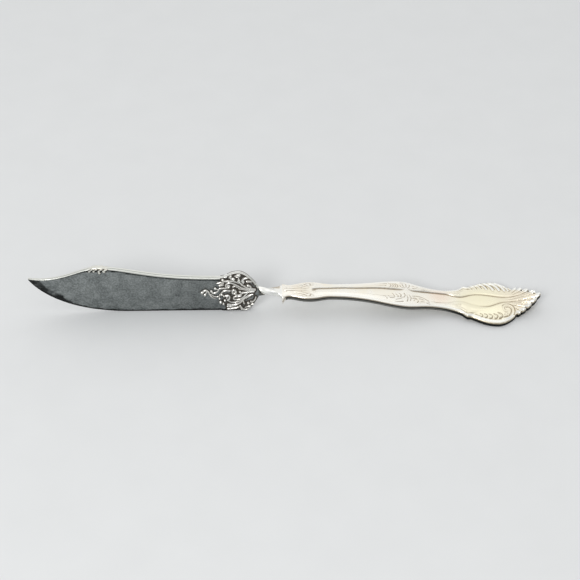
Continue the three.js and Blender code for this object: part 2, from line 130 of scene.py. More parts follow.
def skin(rings, wear_and_painted_light):
    """A closed skin over rings of points that follow one another, with a value of wear and painted light at
    each point.
    """
    along, around = wear_and_painted_light.shape
    mesh = bmesh.new()
    bmesh.ops.create_grid(mesh, x_segments=along - 1, y_segments=around, size=0.5)
    layer = mesh.verts.layers.float.new("wear_and_painted_light")
    for vert in mesh.verts:
        ring = round((vert.co.x + 0.5) * (along - 1))
        spot = round((vert.co.y + 0.5) * around) % around
        vert.co = rings[ring, spot]
        vert[layer] = wear_and_painted_light[ring, spot]
    bmesh.ops.remove_doubles(mesh, verts=mesh.verts, dist=1e-4)
    bmesh.ops.dissolve_degenerate(mesh, edges=mesh.edges, dist=1e-5)
    bmesh.ops.holes_fill(mesh, edges=[edge for edge in mesh.edges if edge.is_boundary])
    return mesh


def both_sides(right):
    """Closes half rings, drawn from the top to the bottom of the middle plane, with their mirror image."""
    return np.concatenate((right, right[:, -2:0:-1] * (1, -1, 1)), axis=1)


class Wire:
    """A socket of a finish. Sums on wires add Math nodes, and node() adds any other node."""

    def __init__(self, tree, socket=None):
        self.tree = tree
        self.socket = socket

    def node(self, kind, settings=None, sockets=None, out=0):
        made = self.tree.nodes.new("ShaderNode" + kind)
        for name, value in (settings or {}).items():
            setattr(made, name, value)
        for name, value in (sockets or {}).items():
            if isinstance(value, Wire):
                self.tree.links.new(value.socket, made.inputs[name])
            else:
                made.inputs[name].default_value = value
        return Wire(self.tree, made.outputs[out] if made.outputs else None)

    def math(self, operation, first, second):
        return self.node("Math", {"operation": operation}, {0: first, 1: second})

    def __add__(self, other):
        return self.math("ADD", self, other)

    def __sub__(self, other):
        return self.math("SUBTRACT", self, other)

    def __rsub__(self, other):
        return self.math("SUBTRACT", other, self)

    def __mul__(self, other):
        return self.math("MULTIPLY", self, other)

    __radd__ = __add__
    __rmul__ = __mul__

    def between(self, low, high):
        return self.node("MapRange", {"interpolation_type": "SMOOTHSTEP"}, {0: self, 1: low, 2: high})

    def blend(self, first, second):
        """The first colour where this wire is 0, the second where it is 1."""
        return self.node("Mix", {"data_type": "RGBA"}, {0: self, 6: first, 7: second}, out=2)

    def grain(self, scale, detail=3, roughness=0.55, stretch=None):
        """Noise of that many patches to the metre, on the piece's own coordinates."""
        at = self.node("TexCoord", out=3)
        if stretch:
            at = self.node("VectorMath", {"operation": "MULTIPLY"}, {0: at, 1: stretch})
        sockets = {"Vector": at, "Scale": scale, "Detail": detail, "Roughness": roughness}
        return self.node("TexNoise", None, sockets)

    def near(self, spot, reach):
        """1 at a spot of the knife, in millimetres from the blade's point, falling to 0 at its reach."""
        at = self.node("TexCoord", out=3)
        centre = ((spot[0] + POINT_X) * MM, spot[1] * MM, spot[2] * MM)
        gap = self.node("VectorMath", {"operation": "DISTANCE"}, {0: at, 1: centre}, out=1)
        return 1 - gap.between(0.15 * reach * MM, reach * MM)


def finish(name):
    """An empty finish, to be filled with nodes and closed by metal()."""
    material = bpy.data.materials.new(name)
    material.use_nodes = True
    material.node_tree.nodes.clear()
    return material, Wire(material.node_tree)


def metal(wire, colour, roughness, bump, depth):
    """Closes a finish as plated metal with a fine surface bump of that depth in metres."""
    normal = wire.node("Bump", None, {"Height": bump, "Distance": depth, "Strength": 1})
    sockets = {"Base Color": colour, "Roughness": roughness, "Normal": normal, "Metallic": 1}
    wire.node("OutputMaterial", None, {"Surface": wire.node("BsdfPrincipled", None, sockets)})


back = Line(0, 16.5).curve(11, 14.2, 18.6, 21.2, 24.5, 21.2).ease(HEEL, 16.1, 0.27, 0.6).ease(CREST, 18.3)
back.curve(76.9, 18.3, 78.9, 15.6, BLADE_END, NECK_HEIGHT + NECK_HALF)
edge = Line(0, 15.9).curve(3.6, 9.2, 13, 0, 36, 0).straight(HEEL, 0).ease(76.6, 0.2)
edge.curve(78.6, 0.2, 79.7, 3.1, BLADE_END, NECK_HEIGHT - NECK_HALF)


def face_half(s):
    return POINT_HALF + (FACE_HALF - POINT_HALF) * np.sin(np.pi / 2 * np.clip(s / 45, 0, 1))


def bead_half(s):
    return face_half(s) + BEAD_PROUD * (1 - step(s, HEEL - 1.1, HEEL + 1.1))


along_blade = places((0, 30), (6, 40), (18, 40), (32, 50), (HEEL - 1.5, 30), (CREST, 40), (BLADE_END, 0))
top, bottom = back(along_blade), edge(along_blade)
face, bead = face_half(along_blade), bead_half(along_blade)
reed = np.minimum(1, 0.4 * (top - bottom) / BEAD_HEIGHT) * (0.4 + 0.6 * step(along_blade, 20, 38))
groove = bead - face
bead_profile = [(share * bead, top - drop * reed) for share, drop in BEAD_ROUND]
bead_profile += [(bead - share * groove, top - drop * reed) for share, drop in BEAD_UNDERCUT]
foot = bottom + np.minimum(GRIND_HEIGHT, 0.5 * (top - bottom))
lip = top - BEAD_HEIGHT * reed
thin = np.minimum(face, EDGE_HALF)
keen = thin + (face - thin) * step(along_blade, HEEL, HEEL + 1.1)
face_profile = [(face, lip - 0.3 * reed)]
face_profile += [(face, lip + (foot - lip) * share) for share in np.linspace(0.1, 1, 8)]
grind_profile = [(face + (keen - face) * share, foot + (bottom - foot) * share)
                 for share in (0.2, 0.4, 0.6, 0.8, 0.97)]
grind_profile += [(0.7 * keen, bottom + 0.02 * reed), (0 * keen, bottom)]
profile = bead_profile + [(face, lip)] + face_profile + grind_profile
blade_half = np.stack([np.stack((along_blade, y, z), axis=1) for y, z in profile], axis=1)
shine = np.array(BEAD_SHINE + FACE_SHINE + EDGE_SHINE)
above_edge = blade_half[:, :, 2] - bottom[:, None]
near_point = 1 - step(along_blade, 9, 19)[:, None]
# Painted shade darkens the faces near the point and along the edge towards it.
tip_shade = near_point * (1 - step(above_edge, 1.5, 6.5)) + 1 - step(along_blade, 2, 7)[:, None]
half_shading = np.where(shine > 0, shine, shine - 0.7 * np.clip(tip_shade, 0, 1))
blade_shading = np.concatenate((half_shading, half_shading[:, -2:0:-1]), axis=1)
blade = finished("blade_plate_grey", skin(both_sides(blade_half), blade_shading), sharp=50)

reflected_plate, wire = finish("plate_with_painted_reflection")
wear_and_painted_light = wire.node("Attribute", {"attribute_name": "wear_and_painted_light"}, out=2)
broad_cloud = wire.grain(200, 6, 0.66).between(0.36, 0.66)
fine_cloud = wire.grain(1500, 3, 0.75).between(0.43, 0.58)
cloud = 0.12 + 0.34 * broad_cloud + 0.42 * fine_cloud
stain = wire.grain(430, 5, 0.62).between(0.57, 0.74)
scratch = wire.grain(2600, 2, 0.5, (0.1, 1, 0.8)).between(0.56, 0.8)
patch = wire.grain(300, 5, 0.65)
# The faces' grey is a painted reflection of a dark surface, mottled like tarnish.
grey = cloud.blend(REFLECTED_SLATE, REFLECTED_PALE_SLATE)
# Darker towards the heel, and painted shade at the neck where the heel plate turns into the shank.
before_heel = wire.near((64, 0, 9), 20)
at_neck = wire.near((81.2, 0, 8.6), 3.2)
dark = 0.45 * stain + 0.28 * before_heel + 0.15 * at_neck
# Dark patches: mottling on the faces, and painted shade where the value is below zero, under the bead, along
# the edge and near the point.
dark = dark + (1.3 * patch - wear_and_painted_light).between(0.8, 1.5)
grey = dark.between(0, 1.1).blend(grey, INK_STAIN_AND_SHADE)
grey = (0.1 * scratch).blend(grey, BRIGHT)
# Blends from the faces' painted reflection to the bead's plate colour.
rub = wear_and_painted_light * (0.9 + 0.1 * wire.grain(800))
# A painted highlight along the crest of the hump.
crest_highlighted_bead = wire.near((73, 0, 18), 9).blend(WIPED, BRIGHT)
metal(wire, rub.between(0, 1).blend(grey, crest_highlighted_bead), 0.42 - 0.16 * rub + 0.1 * cloud, scratch + stain, 5e-6)
blade.data.materials.append(reflected_plate)
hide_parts("blade")

# Leaf saddle. Four curled acanthus leaves that hang over both sides of the hump of the back.
# They are a small silver casting, bent astride the bead and chased after it is seated. The bright plate
# on it is the same as on the shank and the handle.
SADDLE_SEAT, SADDLE_LOW, STRAP_HALF = 0.35, 3.2, 2.0
SADDLE_START, SADDLE_END = 21.8, 28.2
FOLD_RADIUS = 0.4
# Each leaf: its middle along the back, how far it hangs and the half-width of its curled tip.
LEAVES = ((22.0, 1.3, 0.38), (23.6, 1.6, 0.34), (25.5, 2.3, 0.46), (27.2, 1.6, 0.52))
SILVER, CREAM, YELLOWED = (0.88, 0.86, 0.79, 1), (0.88, 0.83, 0.71, 1), (0.89, 0.84, 0.62, 1)
ROSY, TAWNY, TARNISH = (0.86, 0.68, 0.54, 1), (0.8, 0.72, 0.58, 1), (0.28, 0.21, 0.13, 1)
REFLECTED_GREY = (0.19, 0.19, 0.175, 1)


def stroke(points, start, end=None):
    """Points and half-widths along a smooth line through a few places, from its start to its end."""
    knots = np.array(points, float)
    if len(knots) == 1:
        return knots, np.array([start], float)
    knots = np.vstack((2 * knots[0] - knots[1], knots, 2 * knots[-1] - knots[-2]))
    t = np.linspace(0, 1, 14, endpoint=False)[:, None]
    spans = []
    for a, b, c, d in zip(knots, knots[1:], knots[2:], knots[3:]):
        spans.append(b + 0.5 * t * (c - a + t * (2 * a - 5 * b + 4 * c - d + t * (3 * (b - c) + d - a))))
    line = np.vstack(spans + [knots[-2:-1]])
    return line, np.linspace(start, start if end is None else end, len(line))


def ridges(u, v, strokes):
    """How far each place lies inside its nearest stroke, below 0 outside, and the round height there."""
    inside = np.full(u.shape, -9.0)
    height = np.zeros(u.shape)
    for line, half in strokes:
        low, high = line.min(axis=0) - 1.5, line.max(axis=0) + 1.5
        close = np.nonzero((u > low[0]) & (u < high[0]) & (v > low[1]) & (v < high[1]))[0]
        gap = np.hypot(u[close, None] - line[:, 0], v[close, None] - line[:, 1])
        best = np.argmax(half - gap, axis=1)
        gap = gap[np.arange(len(close)), best]
        wide = half[best]
        inside[close] = np.maximum(inside[close], wide - gap)
        height[close] = np.maximum(height[close], np.sqrt(np.clip(wide**2 - gap**2, 0, None)))
    return inside, height


def chased(spread, rise, cell, drawing, seat, stand):
    """An ornament cut from a fine sheet: trimmed to its drawing, raised in relief and closed at its seat.
    The drawing gives the distance inside its outline, the lift, and the wear and painted light. stand places
    a point."""
    mesh = bmesh.new()
    wide, tall = spread[1] - spread[0], rise[1] - rise[0]
    bmesh.ops.create_grid(mesh, x_segments=round(wide / cell), y_segments=round(tall / cell), size=0.5)
    bmesh.ops.scale(mesh, vec=(wide, tall, 1), verts=mesh.verts)
    middle = ((spread[0] + spread[1]) / 2, (rise[0] + rise[1]) / 2, 0)
    bmesh.ops.translate(mesh, vec=middle, verts=mesh.verts)
    layer = mesh.verts.layers.float.new("wear_and_painted_light")

    def read(verts):
        flat = np.array([vert.co[:2] for vert in verts])
        return flat[:, 0], flat[:, 1]

    mesh.verts.index_update()
    outside = drawing(*read(mesh.verts))[0] < 0
    waste = [face for face in mesh.faces if sum(outside[vert.index] for vert in face.verts) > 2]
    bmesh.ops.delete(mesh, geom=waste, context="FACES")
    rim = [vert for vert in mesh.verts if vert.is_boundary]
    for _ in range(2):
        u, v = read(rim)
        here = drawing(u, v)[0]
        slope = np.stack((drawing(u + 0.01, v)[0] - here, drawing(u, v + 0.01)[0] - here), axis=1) / 0.01
        shift = -here[:, None] * slope / np.maximum(0.3, (slope**2).sum(axis=1))[:, None]
        for vert, (du, dv) in zip(rim, np.clip(shift, -cell, cell)):
            vert.co.x += du
            vert.co.y += dv
    _, lift, wear_and_painted_light = drawing(*read(mesh.verts))
    for vert, high, worn in zip(mesh.verts, lift, wear_and_painted_light):
        vert.co.z = high
        vert[layer] = worn
    made = bmesh.ops.extrude_face_region(mesh, geom=mesh.faces[:], use_keep_orig=True)
    for item in made["geom"]:
        if isinstance(item, bmesh.types.BMVert):
            item.co.z = -seat
            item[layer] = 0
    for vert in mesh.verts:
        vert.co = stand(*vert.co)
    return mesh


def over_back(s, around, lift):
    """A place astride the back: s along the blade, around measured over the bead from its middle line."""
    side = math.copysign(1, around)
    half = float(bead_half(s))
    ridge_z = float(back(s))
    turn = math.pi / 2 * FOLD_RADIUS
    past = abs(around) - (half - FOLD_RADIUS)
    if past <= 0:
        return Vector((s, around, ridge_z + lift))
    if past < turn:
        lean = past / FOLD_RADIUS
        reach = FOLD_RADIUS + lift
        y = half - FOLD_RADIUS + reach * math.sin(lean)
        return Vector((s, side * y, ridge_z - FOLD_RADIUS + reach * math.cos(lean)))
    return Vector((s, side * (half + lift), ridge_z - FOLD_RADIUS - (past - turn)))


leaf_strokes = []
for middle, hang, half in LEAVES:
    curl = [(1.3, 0.8), (0.7, 1.0), (0.1, 1.4), (-0.05, 0.6 + 0.65 * hang), (0.15, 0.2 + hang)]
    leaf_strokes.append(stroke([(middle + ahead, down) for ahead, down in curl], 0.2, half))
leaf_ground = [(line, half + 0.2) for line, half in leaf_strokes]


def leaf_drawing(s, around):
    down = np.abs(around)
    _, height = ridges(s, down, leaf_strokes)
    ground, _ = ridges(s, down, leaf_ground)
    strap = np.minimum(np.minimum(s - SADDLE_START, SADDLE_END - s), STRAP_HALF - down)
    # Painted shade: the ground between the leaves and the sides that hang over the faces are inky, and only
    # the leaves and the top of the bead keep the plate colour.
    leaf_shading = 2.4 * step(height, 0.04, 0.22) - 1.4
    ridge_shading = 0.8 - 2.2 * step(down, 0.62, 0.82)
    swell = 0.4 * step(s, SADDLE_START, 23.6) * (1 - step(s, 26.4, SADDLE_END))
    swell = swell * (1 - 0.8 * step(down, 0.55, 1.2))
    return np.maximum(ground, strap), 0.04 + swell + 0.6 * height, np.maximum(leaf_shading, ridge_shading)


saddle = finished("leaf_saddle_curls", chased(
    (20, 29), (-SADDLE_LOW, SADDLE_LOW), 0.08, leaf_drawing, SADDLE_SEAT, over_back))

# The bright plate: creamy, yellowed or rosy in places, rubbed white on the highest parts with a painted
# glint along the handle's rim, brown in the recesses, and a painted grey reflection and inky painted shade
# on the walls, the shank's front face and the saddle's sides.
bright, wire = finish("bright_plate")
wear_and_painted_light = wire.node("Attribute", {"attribute_name": "wear_and_painted_light"}, out=2)
cloud = wire.grain(130, 4).between(0.35, 0.7)
speck = wire.grain(1500, 3).between(0.45, 0.8)
rub = wire.grain(1100, 2, 0.5, (0.15, 1, 1)).between(0.5, 0.8)
tone = cloud.blend(SILVER, CREAM)
tone = (0.85 * wire.near((165, -1, 3), 21)).blend(tone, YELLOWED)
tone = (0.55 * wire.near((147.5, 1, 5), 6)).blend(tone, ROSY)
tone = (0.75 * wire.near((178, 0, 4), 14)).blend(tone, TAWNY)
tone = (0.5 * speck * wire.near((95, 0, 8), 7)).blend(tone, ROSY)
tone = (wear_and_painted_light - 1).between(0.05, 0.4).blend(tone, BRIGHT)
tone = (0.9 * wire.near((24.2, 0, 20.5), 12)).blend(tone, WIPED)
dirt = ((1 - wear_and_painted_light) * (0.75 + 0.25 * speck)).between(0, 1)
tone = dirt.blend(tone, TARNISH)
# Painted reflection and painted shade where the value is below zero.
tone = (-1 * wear_and_painted_light).between(0.2, 0.7).blend(tone, REFLECTED_GREY)
tone = (-1 * wear_and_painted_light).between(0.9, 1.5).blend(tone, INK_STAIN_AND_SHADE)
metal(wire, tone, 0.24 + 0.1 * cloud + 0.2 * dirt + 0.05 * rub, rub + speck, 5e-6)
saddle.data.materials.append(bright)
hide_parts("spine_leaf_saddle")

# Heel mounts. A spray of scrolls, leaves and buds on each face of the heel, its stems springing from the
# neck. Each is a pierced silver casting on a thin ground, brazed on, bright on its high parts and brown in
# its recesses.
SPRAY_HEIGHT, SPRAY_RISE = 8.65, 1.03
MOUNT_SEAT, GROUND_LIFT = 0.25, 0.12
RECESS, AGED = (0.09, 0.08, 0.068, 1), (0.9, 0.88, 0.82, 1)

# Each stem: its places as (distance from the blade's end, height above the spray's middle line), and its
# half-widths at its start and its end.
STEMS = (
    ([(10.3, 7.6), (9.7, 9.0), (8.6, 9.6), (7.2, 9.7), (5.3, 9.1), (3.8, 8.0), (2.3, 6.5), (1.0, 4.2)],
     0.3, 0.35),
    ([(9.7, 8.9), (9.9, 7.9), (9.4, 7.1), (8.8, 6.9)], 0.3, 0.45),
    ([(8.4, 8.2), (7.5, 8.7), (6.6, 8.8)], 0.2, 0.3),
    ([(7.9, 7.8), (7.2, 7.9), (6.6, 8.4)], 0.2, 0.3),
    ([(2.1, 7.0), (3.8, 7.4), (5.2, 6.9), (5.7, 6.1), (5.4, 5.5)], 0.25, 0.5),
    ([(7.0, 7.0), (6.9, 6.0)], 0.3, 0.42),
    ([(4.1, 5.8), (2.9, 5.7), (2.0, 5.5)], 0.38, 0.22),
    ([(2.6, 2.5), (2.9, 3.4), (3.7, 3.9)], 0.2, 0.42),
    ([(1.2, 2.1), (3.4, 2.5), (4.8, 3.3), (5.8, 4.2), (6.6, 5.2)], 0.24, 0.3),
    ([(5.0, 3.4), (6.1, 4.1)], 0.15, 0.25),
    ([(6.9, 5.0), (8.7, 5.8), (10.4, 6.0), (11.8, 5.9), (12.4, 6.2)], 0.22, 0.34),
    ([(12.6, 6.2), (12.7, 6.6)], 0.3, 0.4),
    ([(12.5, 5.2), (13.4, 5.3), (14.7, 5.1)], 0.3, 0.26),
    ([(12.6, 4.3), (13.2, 4.2), (13.9, 4.1)], 0.28, 0.4),
    ([(1.2, 1.7), (3.8, 2.1), (5.8, 2.7), (7.2, 3.6), (8.5, 4.5), (9.9, 5.1), (11.1, 4.8), (11.7, 3.9),
      (11.3, 3.0), (10.5, 3.1), (10.4, 3.8), (10.8, 3.9)], 0.26, 0.3),
    ([(9.1, 3.2), (8.6, 3.6), (7.9, 3.3), (7.2, 2.8)], 0.3, 0.2),
    ([(1.4, 1.4), (3.8, 1.5), (5.5, 2.0), (7.0, 2.4)], 0.22, 0.24),
    ([(9.4, 1.4), (9.0, 1.7), (8.4, 1.5), (8.1, 0.8), (8.4, 0.2), (9.0, 0.1), (9.4, 0.5), (9.3, 1.1)],
     0.36, 0.32),
    ([(1.6, 0.9), (3.5, 0.7), (4.9, 0.5), (6.2, 0.4), (6.7, 0.9)], 0.24, 0.34),
    ([(4.0, 0.4), (4.7, -0.6), (5.4, -1.5), (6.5, -2.4), (7.7, -2.8), (8.9, -2.6), (9.0, -1.8), (8.2, -1.3),
      (7.3, -1.3), (6.4, -1.0)], 0.26, 0.28),
    ([(8.1, -0.7), (7.1, -0.7), (6.0, -0.5)], 0.28, 0.16),
    ([(11.6, 2.6), (13.1, 2.6), (14.1, 2.4), (14.6, 1.4), (15.5, 0.7), (16.4, 0.6), (16.9, 1.5)],
     0.22, 0.42),
    ([(14.5, 2.1), (15.2, 2.4), (15.5, 2.7)], 0.2, 0.46),
    ([(10.3, 1.4), (11.7, 1.5), (12.8, 1.1), (13.7, -0.2), (14.6, -1.2), (16.0, -1.1), (16.8, -0.4),
      (17.5, 0.1)], 0.3, 0.22),
    ([(15.6, -2.1), (16.5, -1.7), (17.2, -0.9), (17.7, 0.1), (17.9, 0.9), (18.6, 1.7), (19.4, 1.7),
      (20.3, 0.8)], 0.18, 0.46),
    ([(18.3, 1.3), (19.0, 0.4), (19.3, -0.3)], 0.14, 0.44),
    ([(11.8, -1.0), (10.8, -0.9), (10.5, -2.1), (11.2, -3.0)], 0.3, 0.34),
    ([(10.9, -3.4), (10.0, -4.0), (8.7, -4.1), (7.6, -3.8), (6.2, -2.9), (4.9, -1.5)], 0.2, 0.24),
    ([(11.2, -5.1), (9.5, -5.3), (7.9, -5.0), (6.5, -4.0), (5.4, -2.6), (4.0, -1.2), (2.1, -0.4)],
     0.34, 0.26),
    ([(11.4, -6.0), (9.9, -5.9), (8.1, -5.6)], 0.28, 0.2),
    ([(11.2, -7.2), (9.5, -7.0), (8.0, -6.7), (6.9, -6.1)], 0.36, 0.24),
    ([(6.8, -5.8), (6.4, -6.6), (6.2, -7.2)], 0.3, 0.44),
    ([(6.0, -7.4), (4.7, -7.6), (3.8, -7.1), (3.0, -6.1)], 0.3, 0.26),
    ([(5.0, -6.7), (4.0, -6.2), (3.2, -6.0)], 0.18, 0.24),
    ([(5.6, -2.5), (5.6, -3.7), (5.3, -4.8)], 0.22, 0.3),
    ([(4.6, -2.3), (3.9, -1.6), (3.2, -1.3)], 0.2, 0.26),
    ([(1.0, -1.7), (1.5, -3.1), (2.4, -4.0), (2.8, -3.8)], 0.22, 0.32),
    ([(2.8, -5.3), (1.9, -5.0)], 0.24, 0.26),
)
# Round buds: places as above, with the half-width.
BUDS = (
    (14.1, -2.1, 0.42), (13.2, -0.4, 0.36), (13.8, -3.9, 0.52), (12.8, -4.8, 0.4), (12.2, -3.1, 0.4),
    (12.5, -1.1, 0.36), (11.5, -1.9, 0.3), (3.8, -4.5, 0.46), (8.8, 6.9, 0.5), (6.9, 6.0, 0.45),
    (3.7, 3.9, 0.46), (12.7, 6.6, 0.46), (13.9, 4.1, 0.44), (16.9, 1.5, 0.5), (15.5, 2.7, 0.5),
    (20.3, 0.8, 0.55), (19.3, -0.3, 0.5), (10.8, 3.9, 0.36), (6.2, -7.2, 0.4),
)
spray = [stroke(points, 1.15 * start, 1.15 * end) for points, start, end in STEMS]
spray += [stroke([(away, up)], 1.2 * half) for away, up, half in BUDS]
grounded = [(line, half + 0.5 * step(14.5 - line[:, 0], 0, 2.5)) for line, half in spray]


def spray_drawing(away, up):
    inside, height = ridges(away, up, spray)
    ground, _ = ridges(away, up, grounded)
    s, z = BLADE_END - away, SPRAY_HEIGHT + SPRAY_RISE * up
    heel = np.minimum(np.minimum(back(s) - z, z - edge(s)) - 0.08, away - 0.5)
    trim = np.minimum(np.maximum(inside, ground), heel)
    lift = GROUND_LIFT + np.where(inside > 0, 1.3 * height, 0) * step(heel, -0.3, 0.3)
    return trim, lift, step(lift, GROUND_LIFT + 0.02, GROUND_LIFT + 0.34)


aged, wire = finish("aged_silver_scrolls")
wear_and_painted_light = wire.node("Attribute", {"attribute_name": "wear_and_painted_light"}, out=2)
soil = wire.grain(900, 4).between(0.3, 0.75)
high = wear_and_painted_light * (0.82 + 0.18 * soil)
crest = wire.grain(260).between(0.35, 0.7).blend(AGED, BRIGHT)
metal(wire, high.blend(RECESS, crest), 0.5 - 0.29 * high, soil, 6e-6)

for face_name, side in (("front", -1), ("back", 1)):
    def on_heel(away, up, lift, side=side):
        return Vector((BLADE_END - away, side * (FACE_HALF + lift), SPRAY_HEIGHT + SPRAY_RISE * up))

    mount = finished("heel_scrolls_" + face_name, chased(
        (0, 21.2), (-8.4, 10.2), 0.085, spray_drawing, MOUNT_SEAT, on_heel))
    mount.data.materials.append(aged)
    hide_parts("heel_mount_" + face_name)

# Shank. A short flat bar of the same metal, turned a quarter about its length so that the blade stands
# upright while the handle lies flat. It is brazed into the heel and the handle and filed smooth.
HANDLE_START = 90.0
SHANK_HALF_THICK, SHANK_BULGE, SHANK_DROP = 0.9, 0.4, 0.4


def squared(wave):
    """Fills out a wave, so that a round section becomes a flat bar with soft corners."""
    return np.sign(wave) * np.abs(wave) ** 0.4


shank_width = Line(0, NECK_HALF).ease(0.5, 2.1).ease(0.82, 2.3, 0.4, 0.3).ease(1, 3.0, 0.4, 0.1)
along_shank = np.linspace(-0.04, 1.06, 100)
share = np.clip(along_shank, 0, 1)
turn = np.pi / 2 * share**0.7
around = np.linspace(0, 2 * np.pi, 80, endpoint=False)
wide = shank_width(share)[:, None] * squared(np.cos(around))
thick = FACE_HALF - 0.02 + (SHANK_HALF_THICK - FACE_HALF) * share
thick = thick + SHANK_BULGE * np.sin(np.pi * share**0.6)
thick = thick[:, None] * squared(np.sin(around))
shank_rings = np.stack((
    np.broadcast_to((BLADE_END + (HANDLE_START - BLADE_END) * along_shank)[:, None], wide.shape),
    thick * np.cos(turn)[:, None] - wide * np.sin(turn)[:, None],
    (NECK_HEIGHT - SHANK_DROP * step(share, 0, 1))[:, None] + wide * np.cos(turn)[:, None]
    + thick * np.sin(turn)[:, None],
), axis=2)
# Painted shade: the front face is darkened below a slanting line that follows the turn, and the flat behind
# it is darker too.
below = (1.05 - 5.2 * share)[:, None] - squared(np.cos(around))
front_face = step(-np.sin(around), 0.1, 0.3) * step(below, -0.12, 0.12)
upper_edge = front_face * (1 - step(below, 0.2, 0.5))
far_flat = step(np.sin(around), 0.1, 0.3) * step(-np.cos(around), 0, 0.06)
far_flat = far_flat * (step(share, 0.4, 0.55) * (1 - step(share, 0.88, 1)))[:, None]
shank_shading = 1.5 - 2.55 * front_face - 0.6 * upper_edge - 1.2 * far_flat
shank = finished("shank_quarter_turn", skin(shank_rings, shank_shading), sharp=50)
shank.data.materials.append(bright)
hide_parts("twisted_shank")

# Handle. A flat bar of nickel silver struck between dies: rolled borders beside a sunk channel that opens
# into a plain cartouche, leafwork at the middle swell, a scroll on one shoulder, bent leaves on the other
# and a leaf-fan end. The plate is bright and creamy on the high parts, with brown tarnish in the recesses.
HANDLE_LENGTH = 94.0
EAR_HALF, EAR_DROOP = 4.5, 0.6
SWELL, NARROW, MIDDLE, WAIST, CARTOUCHE, SHOULDER, NOTCH = 10.0, 18.2, 44.2, 57.0, 72.0, 77.6, 85.0
SPUR, SPUR_PROUD, SPUR_LENGTH = 66.6, 0.8, 1.1
FAN_LEAN, TIP_LOBES, LOBE_DEPTH = 0.7, 4.5, 0.7
CHANNEL_SINK, CORNER = 0.5, 0.28

outline = Line(0.05, 2.95).curve(0.1, 3.6, 0.15, EAR_HALF, 0.35, EAR_HALF)
outline.curve(0.7, EAR_HALF, 0.6, 3.0, 2.6, 2.9).ease(SWELL, 4.3, 0.3).ease(NARROW, 3.2)
outline.ease(MIDDLE, 6.45, 0.53, 0.27).ease(WAIST, 4.6, 0.3, 0.5)
outline.ease(SHOULDER, 10.85, 0.45, 0.36).curve(80.6, 10.85, 82.4, 8.6, NOTCH, 6.95)
outline.curve(87, 6.3, 91, 4.2, HANDLE_LENGTH, 0)
underside = Line(0, 7.1).straight(12, 7.1).curve(22.9, 7.1, 37.6, 6.3, 47, 4.4)
underside.curve(56.4, 2.5, 66.3, 0.44, 75.8, 0).straight(81.8, 0)
underside.curve(84.9, 0, 89.1, 1.7, HANDLE_LENGTH, 4.2)
channel = Line(-1, 0.2).straight(8, 0.2).ease(14, 0.9).ease(24, 1.3).ease(38, 2.1).ease(59, 2.6, 0.5, 0.3)
channel.ease(64.6, 1.6).ease(CARTOUCHE, 3.6, 0.3, 0.5).ease(82, 1.7, 0.5, 0.4)
channel.ease(89, 2.5).ease(HANDLE_LENGTH, 1.2)
border = Line(-1, 0.8).straight(30, 0.85).ease(MIDDLE, 1.0).ease(WAIST, 0.9).ease(SHOULDER - 3, 1.9)
border.straight(81, 1.7).ease(NOTCH, 0.5).straight(HANDLE_LENGTH + 1, 0.5)


def mound(distance, reach):
    """1 in the middle, falling off softly either way."""
    return np.exp(-((distance / reach) ** 2))


# The steps along each piece of the outline. The last two pieces fall to the notch and run round the fan.
RIM_STEPS = (16, 34, 44, 36, 120, 76, 150, 60, 120)
NOTCH_PIECE, LOBED_PIECE = 7, 8
rim_points = []
rim_lobes = []
for piece, count in enumerate(RIM_STEPS):
    traced = outline.trace(piece, count)[:-1]
    t = np.arange(count) / count
    fan = {NOTCH_PIECE: 1 - t**4, LOBED_PIECE: np.abs(np.sin(np.pi * TIP_LOBES * t))}
    rim_points.append(traced)
    rim_lobes.append(fan.get(piece, np.ones(count)))
rim = np.vstack(rim_points + [[[HANDLE_LENGTH, 0]]])
lobe = np.concatenate(rim_lobes + [[1]])
axis_at = np.where(rim[:, 0] < SHOULDER, rim[:, 0], SHOULDER + FAN_LEAN * (rim[:, 0] - SHOULDER))
spur = SPUR_PROUD * mound(rim[:, 0] - SPUR, SPUR_LENGTH)
reach = np.hypot(rim[:, 0] - axis_at, rim[:, 1]) + spur - LOBE_DEPTH * (1 - lobe) ** 2
aim = np.arctan2(rim[:, 1], rim[:, 0] - axis_at)

across = np.linspace(-1, 1, 121)
out_from_axis = reach[:, None] * across
plan_x = axis_at[:, None] + np.abs(out_from_axis) * np.cos(aim)[:, None]
plan_y = out_from_axis * np.sin(aim)[:, None]
from_rim = reach[:, None] - np.abs(out_from_axis)
beside = np.abs(plan_y)

# Raised strokes on both sides of the handle, at its start, beside the swell and towards the shoulders: their
# places as (distance from the shank, distance from the middle line), and their half-widths at both ends.
CURLS = (
    ([(1.2, 0), (5, 0), (9, 0), (13, 0)], 0.5, 0.14),
    ([(2.2, 0.9), (5, 1.1), (7.5, 1.8), (9.6, 2.9)], 0.35, 0.3),
    ([(4.2, 2.1), (6.5, 2.4), (8.4, 3.2)], 0.22, 0.26),
    ([(7.5, 0.8), (10, 1.3), (12.6, 2.3)], 0.3, 0.14),
    ([(9.7, 2.5)], 0.45, None),
    ([(10.8, 3.0)], 0.38, None),
    ([(49.5, 3.4), (53, 3.4), (56.5, 3.9)], 0.24, 0.12),
    ([(50.5, 2.6), (53, 2.7), (56, 3.1)], 0.2, 0.12),
    ([(49, 4.4), (51.5, 4.2), (54, 4.2)], 0.22, 0.12),
    ([(38.6, 4.7), (36.5, 4.3), (33.5, 3.7)], 0.22, 0.12),
    ([(38.2, 3.0), (36.2, 2.8), (34, 2.5)], 0.2, 0.12),
    ([(58.5, 3.3), (61.5, 2.9), (63.8, 2.6)], 0.14, 0.22),
    ([(64.5, 2.5)], 0.4, None),
    ([(62.8, 3.6), (64.6, 4.2), (66.4, 5.6)], 0.2, 0.3),
    ([(66.6, 7.6), (68.3, 6.9), (70.2, 6.4)], 0.4, 0.14),
    ([(68.2, 5.8), (70.5, 5.5), (73, 5.3)], 0.22, 0.1),
)
